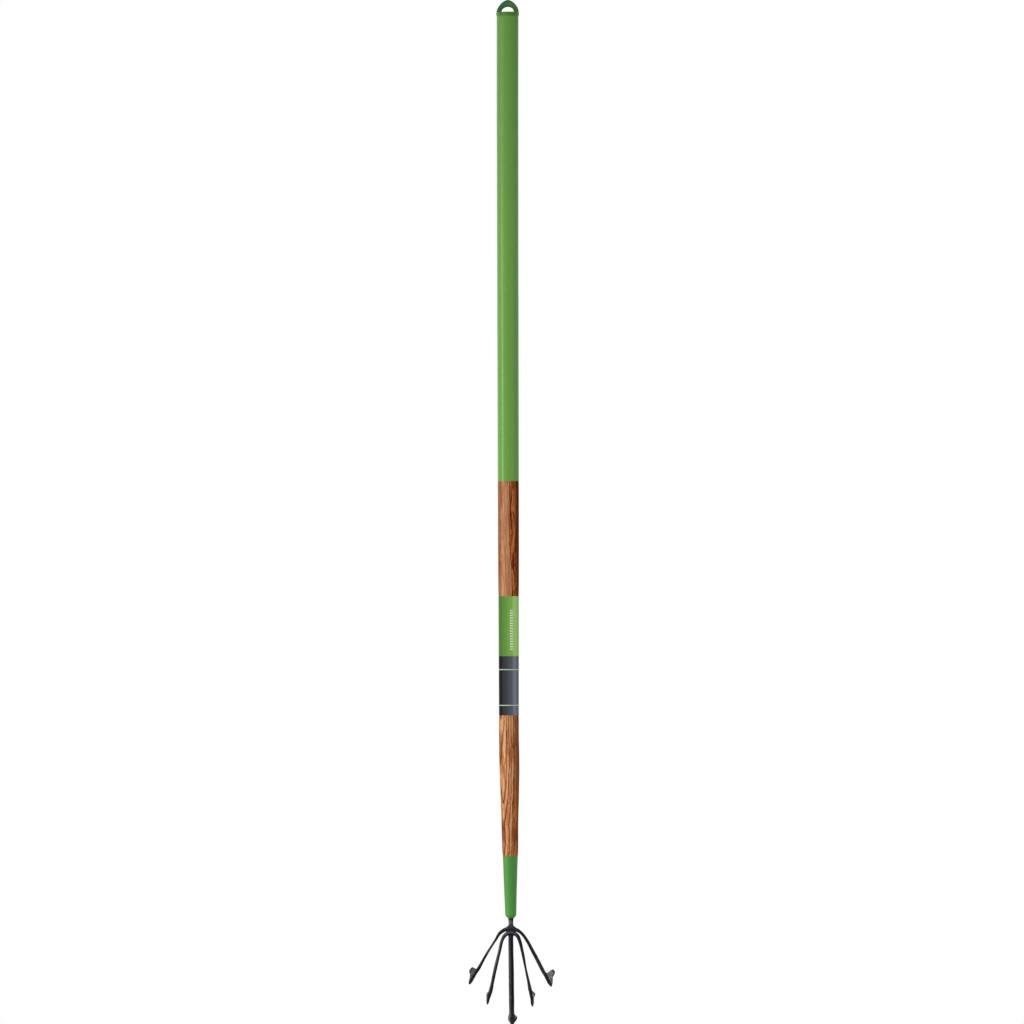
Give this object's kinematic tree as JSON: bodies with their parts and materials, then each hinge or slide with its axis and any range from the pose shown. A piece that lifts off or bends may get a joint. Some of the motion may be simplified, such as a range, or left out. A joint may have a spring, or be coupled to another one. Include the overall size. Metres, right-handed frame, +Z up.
{
  "type": "garden cultivator",
  "caption": "Long-handled hand cultivator: turned hardwood handle with sleeved grip and hanging eye, tapered steel ferrule and forged hooked tines with arrow-shaped blades.",
  "frame": {"origin": "top of the hanging eye's opening, in the middle of the loop, where a hook bears", "axes": "+Z up the handle towards the eye, -Y towards the side the tines hook to, +X to the right seen from that side"},
  "size_m": [0.1264, 0.0596, 1.5017],
  "materials": {
    "hardwood": "clear satin varnish",
    "green_grip": "satin moulded",
    "label_film": "glossy printed film",
    "green_paint": "semi-gloss enamel",
    "dark_steel": "black coat on forged steel, worn at the blades"
  },
  "bodies": {
    "root": {"handle": "hardwood", "grip_sleeve": "green_grip", "end_cap": "green_grip", "label_sleeve": "label_film", "ferrule": "green_paint", "ferrule_pin": "green_paint", "middle_tine": "dark_steel", "outer_tines": "dark_steel", "inner_tines": "dark_steel", "weld_left": "dark_steel", "weld_right": "dark_steel", "weld_front": "dark_steel"}
  },
  "joints": []
}
